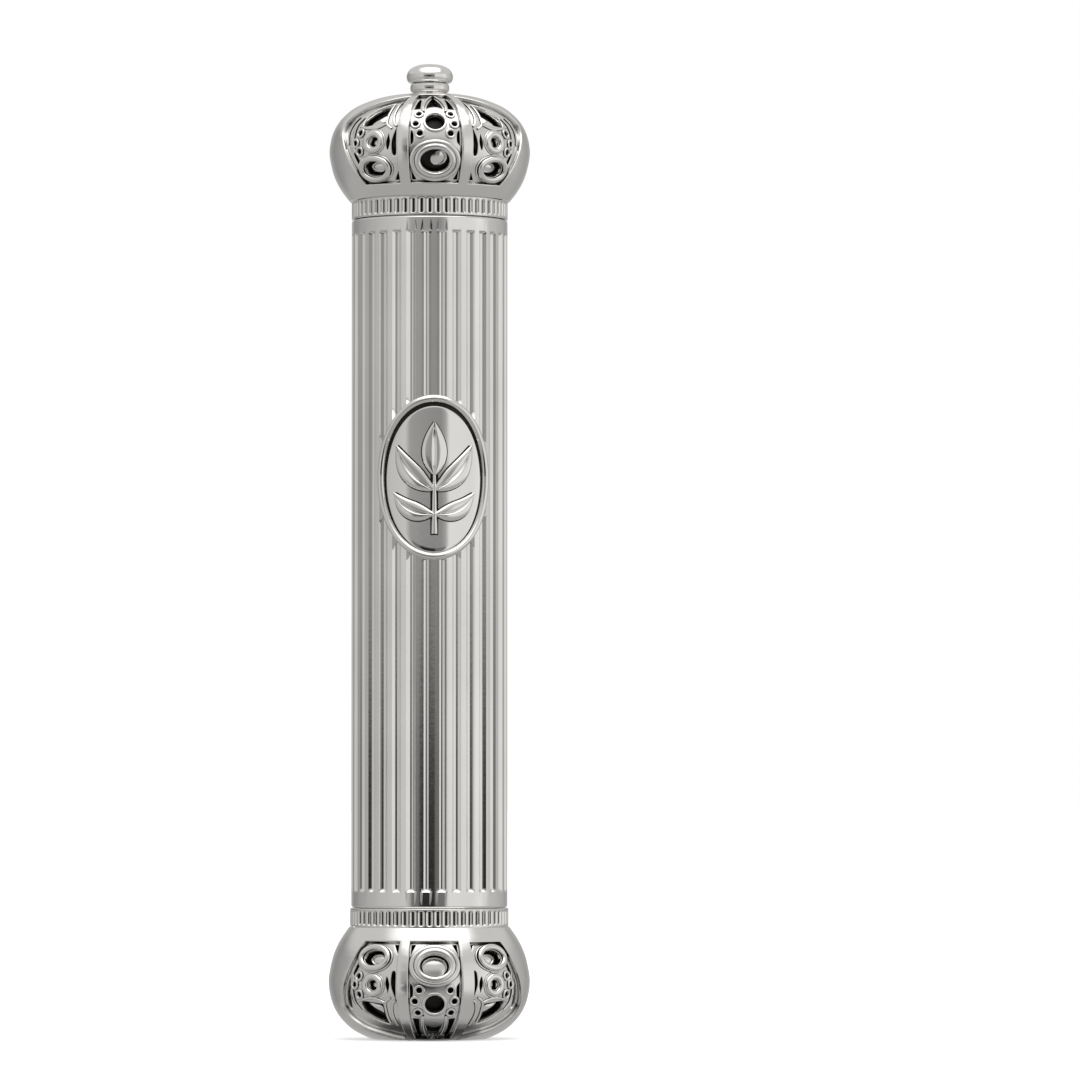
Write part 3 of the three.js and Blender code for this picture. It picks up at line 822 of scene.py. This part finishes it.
def make_back_plate():
    """A flat rail that lies on the wall, with a thinner wing at each side and two countersunk holes."""
    rail_half, wing_back, corner, inset = 8.0, -1.5, 0.8, 0.1
    half, front = PLATE_HIGH[0], PLATE_LOW[1]
    holes = [oval((0, z), SCREW_HEAD_R, SCREW_HEAD_R, 48) for z in (-SCREW_HOLE_Z, SCREW_HOLE_Z)]
    parts = []
    for half_width, depth in ((half, wing_back - front), (rail_half, -front)):
        outline = rounded_box(half_width, PLATE_LOW[2], PLATE_HIGH[2], corner)
        vertices, faces = pierced_plate(outline, holes, depth, 0.15, UNCUT)
        parts.append((np.stack([vertices[:, 0], front - vertices[:, 2], vertices[:, 1]], -1), faces))
    rear = -front - 0.02
    seat = [(SCREW_HEAD_R + inset, inset), (SCREW_HEAD_R, inset), (SCREW_HOLE_R, SCREW_HEAD_R - SCREW_HOLE_R),
            (SCREW_HOLE_R, rear), (SCREW_HEAD_R + inset, rear)]
    for z in (-SCREW_HOLE_Z, SCREW_HOLE_Z):
        vertices, faces = ring(seat, axis_y=0, segments=48)
        parts.append((np.stack([vertices[:, 0], front + vertices[:, 2], z + vertices[:, 1]], -1), faces))
    return make("mounting_plate", parts, 35)


def rounded_box(half_width, low, high, corner):
    """An upright rectangle with round corners, as a loop of points."""
    loop = []
    for x, y, start in ((1, high, 0), (-1, high, 90), (-1, low, 180), (1, low, 270)):
        centre = (x * (half_width - corner), y - math.copysign(corner, y))
        for degrees in range(start, start + 91, 15):
            a = math.radians(degrees)
            loop.append((centre[0] + corner * math.cos(a), centre[1] + corner * math.sin(a)))
    return np.array(loop)


def upright_roll(node):
    """Outer radius, middle and two heights of an upright round CAD node."""
    low, high = box_mm(node)
    return (high[0] - low[0]) / 2, (low[1] + high[1]) / 2, low[2], high[2]


def make_sleeve():
    """The clear tube, with bevelled ends."""
    outer, centre_y, low, high = upright_roll("scroll_sleeve")
    inner, edge = outer - 0.35, 0.1
    section = [(inner, low + edge), (inner + edge, low), (outer - edge, low), (outer, low + edge),
               (outer, high - edge), (outer - edge, high), (inner + edge, high), (inner, high - edge)]
    return make("sleeve_tube", [ring(section, axis_y=centre_y)], 35)


def make_scroll():
    """Parchment wound on itself: a spiral sheet with a little space between turns."""
    outer, centre_y, low, high = upright_roll("scroll")
    turns, sheet, core_r = 6, 0.22, 1.5
    angle, z = np.meshgrid(np.linspace(0, 2 * math.pi * turns, 72 * turns), [low, high])
    inner_r = np.linspace(core_r, outer - sheet, 72 * turns)

    def spiral(radius):
        return np.stack([radius * np.sin(angle), centre_y - radius * np.cos(angle), z], -1)

    return make("parchment_roll", [wall(spiral(inner_r + sheet), spiral(inner_r))])


# ---- Materials ----

def feed(tree, node, inputs):
    """Sets inputs of a node: each to a constant, or linked to a socket."""
    for name, value in inputs.items():
        if isinstance(value, bpy.types.NodeSocket):
            tree.links.new(value, node.inputs[name])
        else:
            node.inputs[name].default_value = value


def add_node(tree, kind, inputs, **settings):
    """A new node with its settings and inputs."""
    node = tree.nodes.new("ShaderNode" + kind)
    for name, value in settings.items():
        setattr(node, name, value)
    feed(tree, node, inputs)
    return node


def ranged(tree, source, low, high):
    """Maps a 0 to 1 value to a range."""
    return add_node(tree, "MapRange", {"Value": source, "To Min": low, "To Max": high}).outputs["Result"]


def step(tree, source, edge, soft, falling=False):
    """0 below an edge and 1 above it, or the other way round, softly."""
    ends = {"To Min": 1, "To Max": 0} if falling else {"To Min": 0, "To Max": 1}
    inputs = {"Value": source, "From Min": edge - soft, "From Max": edge + soft, **ends}
    return add_node(tree, "MapRange", inputs, interpolation_type="SMOOTHSTEP").outputs["Result"]


def blend(tree, share, below, above, data_type="FLOAT"):
    """below where share is 0, above where it is 1."""
    inputs = {"Factor": share, "A": below, "B": above}
    return add_node(tree, "Mix", inputs, data_type=data_type).outputs["Result"]


def noise(tree, scale, detail):
    """A noise pattern in the object's own coordinates."""
    place = tree.nodes.new("ShaderNodeTexCoord").outputs["Object"]
    return add_node(tree, "TexNoise", {"Vector": place, "Scale": scale, "Detail": detail}).outputs["Fac"]


def ramp(tree, share, stops):
    """A colour that changes with the share, through stops of (position, colour)."""
    node = add_node(tree, "ValToRGB", {"Fac": share})
    elements = node.color_ramp.elements
    while len(elements) < len(stops):
        elements.new(0.5)
    for element, (position, colour) in zip(elements, stops):
        element.position = position
        element.color = (*colour, 1)
    return node.outputs["Color"]


def bump(tree, height, strength, distance):
    """A surface made uneven by a height pattern."""
    node = add_node(tree, "Bump", {"Height": height, "Strength": strength, "Distance": distance})
    return node.outputs["Normal"]


def new_material(name, inputs_of):
    """A material whose Principled inputs are what inputs_of gives for its node tree."""
    material = bpy.data.materials.new(name)
    material.use_nodes = True
    tree = material.node_tree
    feed(tree, tree.nodes["Principled BSDF"], inputs_of(tree))
    return material


def crevice_oxide_and_painted_shade(tree, colour, reach):
    """The colour, turned nearly black where the metal's own surface closes round within the reach: painted
    crevice shade, together with blackened antiquing.
    """
    shelter = add_node(tree, "AmbientOcclusion", {"Distance": reach}, samples=8, only_local=True)
    open_share = step(tree, shelter.outputs["AO"], 0.51, 0.21)
    return blend(tree, open_share, (0.03, 0.029, 0.027, 1), colour, "RGBA")


def metal(name, light, dark, rough, bump_strength, scale, crevice_reach=0):
    """Polished or brushed metal with faint clouding, fine grain and uneven polish; with a crevice reach, also
    painted shade and antiquing in its crevices.
    """
    def inputs(tree):
        grain = noise(tree, scale * 28, 3)
        colour = ramp(tree, noise(tree, scale, 4), [(0.3, dark), (0.6, light)])
        if crevice_reach:
            colour = crevice_oxide_and_painted_shade(tree, colour, crevice_reach)
        return {"Base Color": colour, "Roughness": ranged(tree, grain, *rough), "Metallic": 1.0,
                "Normal": bump(tree, grain, bump_strength, 0.0001)}
    return new_material(name, inputs)


def parchment_material():
    """Mottled, matt and slightly rough."""
    def inputs(tree):
        cloud = noise(tree, 180, 6)
        return {"Base Color": ramp(tree, cloud, [(0.0, (0.62, 0.50, 0.33)), (1.0, (0.86, 0.78, 0.62))]),
                "Roughness": ranged(tree, cloud, 0.6, 0.85), "Normal": bump(tree, cloud, 0.4, 0.0002)}
    return new_material("parchment", inputs)


def sleeve_material():
    """Clear film with faint scuffs."""
    return new_material("clear_sleeve", lambda tree: {
        "Base Color": (0.93, 0.95, 0.96, 1), "Transmission Weight": 1.0, "IOR": 1.2,
        "Roughness": ranged(tree, noise(tree, 400, 4), 0.05, 0.2)})


# ---- Pieces ----

LIGHT_SILVER, DARK_SILVER = (0.88, 0.872, 0.858), (0.82, 0.808, 0.79)
silver = metal("silver_plate", LIGHT_SILVER, DARK_SILVER, (0.05, 0.10), 0.02, 60)
# Satin silver for the crowns, with painted shade and antiquing blackening its crevices
satin_silver = metal("silver_satin", LIGHT_SILVER, DARK_SILVER, (0.15, 0.21), 0.02, 60, 0.9 * MM)
inner_silver = metal("inner_silver", (0.80, 0.79, 0.77), (0.72, 0.71, 0.69), (0.16, 0.26), 0.08, 60)
# Near-black silver: painted shade on the liners and in the collars' slots, and antiquing with painted shade
# in the medallion's groove and round the emblem
oxide_and_painted_shade = metal("oxide_and_painted_shade_silver", (0.05, 0.048, 0.045), (0.015, 0.014, 0.013), (0.35, 0.55), 0.1, 90)
steel = metal("plate_steel", (0.66, 0.67, 0.66), (0.55, 0.56, 0.56), (0.28, 0.46), 0.2, 90)
paper = parchment_material()
clear = sleeve_material()

TOP = Dome("top", "crown", SEAM_TOP, 1, DOME_END, collar_r=12.0, crown_end=19.38, liner_end=18.9,
           hole_rise=14.4, squeeze=0.0, channel=False)
BOTTOM = Dome("bottom", "case", SEAM_BOTTOM, -1, SEAM_BOTTOM - BOTTOM_Z, collar_r=12.15, crown_end=18.5,
              liner_end=18.45, hole_rise=13.55, squeeze=0.12, channel=True)


def add(obj, material, body):
    """Gives a piece its material and body."""
    obj.data.materials.clear()
    obj.data.materials.append(material)
    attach(obj, body)


def fit(obj, material, body, node):
    """Adds a piece that stands for a CAD node."""
    add(obj, material, body)
    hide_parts(node)


def build_case():
    """The casing with its medallion."""
    fit(make_casing(), silver, "case", "body_shell")
    fit(make_medallion_rim(), silver, "case", "medallion_rim")
    fit(make_medallion_plate(), silver, "case", "medallion_plate")
    fit(make_emblem(), silver, "case", "leaf_emblem")
    add(make_medallion_groove(), oxide_and_painted_shade, "case")
    add(make_emblem_recess(), oxide_and_painted_shade, "case")


def build_crowns():
    """Both crowns with their collars and liners."""
    for end in (TOP, BOTTOM):
        fit(make_collar(end), silver, end.body, end.place + "_collar")
    for end in (TOP, BOTTOM):
        add(make_collar_recess(end), oxide_and_painted_shade, end.body)
    fit(make_crown(TOP), satin_silver, "crown", "top_crown")
    add(make_crown_cap(), silver, "crown")
    fit(make_crown(BOTTOM), satin_silver, "case", "bottom_crown")
    for end in (TOP, BOTTOM):
        fit(make_liner(end), oxide_and_painted_shade, end.body, end.place + "_liner")
    small_boss = oval(TOP.flat(2.6, RING_RISE + 0.3), 1.5, 1.2, turn=0.5)
    add(make_pads(TOP, small_boss, 0.12, (0.1, -0.06)), silver, "crown")
    wide_boss = oval(BOTTOM.flat(0, RING_RISE), 2.15, 1.75)
    add(make_pads(BOTTOM, wide_boss, 0.14, (0.0, -0.05)), silver, "case")


def build_fittings():
    """The knob, the scroll, and the parts that are mostly hidden."""
    fit(make_knob_ring(), silver, "knob_washer", "knob_ring")
    fit(make_knob(), silver, "knob_screw", "knob")
    fit(make_scroll(), paper, "roll", "scroll")
    fit(make_sleeve(), clear, "roll", "scroll_sleeve")
    fit(make_back_plate(), steel, "wall_plate", "back_plate")
    fit(make_half_disc("plug_top", "top_plug"), inner_silver, "crown", "top_plug")
    fit(make_half_disc("plug_bottom", "bottom_plug"), inner_silver, "case", "bottom_plug")
    fit(make_half_disc("foot_disc", "foot_cap"), inner_silver, "case", "foot_cap")


# ---- Studio ----

def make_camera():
    """The photograph's view: from a little to the left and a little below the middle."""
    distance, azimuth, elevation = 1.075, math.radians(-3.3), math.radians(-1.9)
    frame_width = 0.1662
    aim_right, aim_up = 0.0170, 0.0016
    centre = Vector((0, AXIS_Y * MM, 0))
    away = Vector((math.sin(azimuth) * math.cos(elevation), -math.cos(azimuth) * math.cos(elevation),
                   math.sin(elevation)))
    data = bpy.data.cameras.new("camera")
    data.sensor_width = 36
    data.lens = data.sensor_width * distance / frame_width
    data.clip_end = 50
    camera = linked("camera", data)
    camera.location = centre + away * distance
    aim = centre + Vector((math.cos(azimuth), math.sin(azimuth), 0)) * aim_right + Vector((0, 0, aim_up))
    camera.rotation_euler = (aim - camera.location).to_track_quat("-Z", "Y").to_euler()
    bpy.context.scene.camera = camera


def make_floor():
    """A matt white floor. The metal reflects the tent's lower half in its place."""
    size, z = 8.0, BOTTOM_Z * MM
    corners = [(-size, -size, z), (size, -size, z), (size, size, z), (-size, size, z)]
    mesh = bpy.data.meshes.new("floor")
    mesh.from_pydata(corners, [], [(0, 1, 2, 3)])
    material = new_material("floor", lambda tree: {
        "Base Color": (0.93, 0.93, 0.93, 1), "Roughness": ranged(tree, noise(tree, 3, 3), 0.85, 0.95),
        "Specular IOR Level": 0, "Emission Color": (1, 1, 1, 1), "Emission Strength": 0.4})
    tree = material.node_tree
    seen = tree.nodes.new("ShaderNodeLightPath").outputs["Is Camera Ray"]
    reflected = tree.nodes.new("ShaderNodeBsdfTransparent").outputs["BSDF"]
    plain = tree.nodes["Principled BSDF"].outputs["BSDF"]
    mix = add_node(tree, "MixShader", {0: seen, 1: reflected, 2: plain})
    feed(tree, tree.nodes["Material Output"], {"Surface": mix.outputs["Shader"]})
    mesh.materials.append(material)
    linked("floor", mesh)


# The tent round the object: (degrees round from the front, towards the right; brightness).
TENT = [(-180, 0.55), (-150, 0.27), (-118, 0.40), (-95, 0.48), (-75, 0.54), (-52, 0.60), (-38, 0.64),
        (-31, 0.37), (-15, 0.34), (13, 0.29), (20, 0.42), (25, 0.80), (60, 0.78), (78, 0.88), (97, 0.58),
        (125, 0.48), (148, 0.36), (180, 0.55)]
OPENING, OPENING_LIGHT = (-30, 20), 0.17        # the tent's opening in front, below eye level
PERSON, PERSON_LIGHT = (-18, 5), 0.02           # the photographer, who stands in it
EYE_LEVEL = 0.016                               # heights are the up part of a direction, from -1 to 1
ROOF, ROOF_LIGHT = 0.36, 0.62
GROUND, GROUND_LIGHT = -0.3, 0.42
SOFTBOX_AIM, SOFTBOX_HALF_ANGLE, SOFTBOX_LIGHT = (0.0, -0.26, 0.966), 36, 1.25    # overhead, in front
SHADE_AIM, SHADE_HALF_ANGLE, SHADE_LIGHT = (0.0, 0.42, -0.907), 28, 0.04          # underneath, behind


def calculated(tree, operation, first, second):
    """The result of one Math node."""
    return add_node(tree, "Math", {0: first, 1: second}, operation=operation).outputs[0]


def sector(tree, side, limits):
    """1 between two directions round the object, in degrees, with soft edges."""
    soft = math.radians(2)
    start, end = (math.radians(limit) for limit in limits)
    rise = step(tree, side, start, soft)
    return calculated(tree, "MULTIPLY", rise, step(tree, side, end, soft, falling=True))


def patch(tree, direction, aim, half_angle):
    """1 in a round patch of the tent about an aim, with a soft edge."""
    along = add_node(tree, "VectorMath", {0: direction, 1: aim}, operation="DOT_PRODUCT")
    return step(tree, along.outputs["Value"], math.cos(math.radians(half_angle)), 0.08)


def tent_level(tree, side):
    """The tent's brightness by the direction round the object."""
    turn = add_node(tree, "MapRange", {"Value": side, "From Min": -math.pi, "From Max": math.pi})
    stops = [((degrees + 180) / 360, (brightness,) * 3) for degrees, brightness in TENT]
    return ramp(tree, turn.outputs["Result"], stops)


def make_world():
    """A pale tent, open in front, with a softbox overhead. The opening is dark below eye level."""
    world = bpy.data.worlds.new("studio")
    bpy.context.scene.world = world
    world.use_nodes = True
    tree = world.node_tree
    tree.nodes.clear()
    direction = tree.nodes.new("ShaderNodeTexCoord").outputs["Generated"]
    axes = add_node(tree, "SeparateXYZ", {0: direction})
    side = calculated(tree, "ARCTAN2", axes.outputs["X"], calculated(tree, "MULTIPLY", axes.outputs["Y"], -1))
    up = axes.outputs["Z"]

    tent = tent_level(tree, side)
    dark = blend(tree, sector(tree, side, PERSON), OPENING_LIGHT, PERSON_LIGHT)
    in_front = blend(tree, step(tree, up, EYE_LEVEL, 0.018, falling=True), tent, dark)
    level = blend(tree, sector(tree, side, OPENING), tent, in_front)
    level = blend(tree, step(tree, up, ROOF, 0.1), level, ROOF_LIGHT)
    level = blend(tree, step(tree, up, GROUND, 0.12, falling=True), level, GROUND_LIGHT)
    level = blend(tree, patch(tree, direction, SHADE_AIM, SHADE_HALF_ANGLE), level, SHADE_LIGHT)
    level = blend(tree, patch(tree, direction, SOFTBOX_AIM, SOFTBOX_HALF_ANGLE), level, SOFTBOX_LIGHT)

    seen = tree.nodes.new("ShaderNodeLightPath").outputs["Is Camera Ray"]
    tint = blend(tree, seen, (1.0, 0.99, 0.975, 1), (1, 1, 1, 1), "RGBA")
    background = add_node(tree, "Background", {"Color": tint, "Strength": blend(tree, seen, level, 1.0)})
    add_node(tree, "OutputWorld", {"Surface": background.outputs[0]})


def make_lamp():
    """A soft rectangular lamp overhead, a little in front."""
    data = bpy.data.lights.new("light_above", "AREA")
    data.shape = "RECTANGLE"
    data.size, data.size_y = 1.2, 0.8
    data.energy = 3
    lamp = linked("light_above", data)
    lamp.location = (0.1, -0.25, 1.1)
    lamp.rotation_euler = (-lamp.location).to_track_quat("-Z", "Y").to_euler()


build_case()
build_crowns()
build_fittings()
make_camera()
make_floor()
make_world()
make_lamp()
bpy.context.scene.view_settings.view_transform = "Standard"
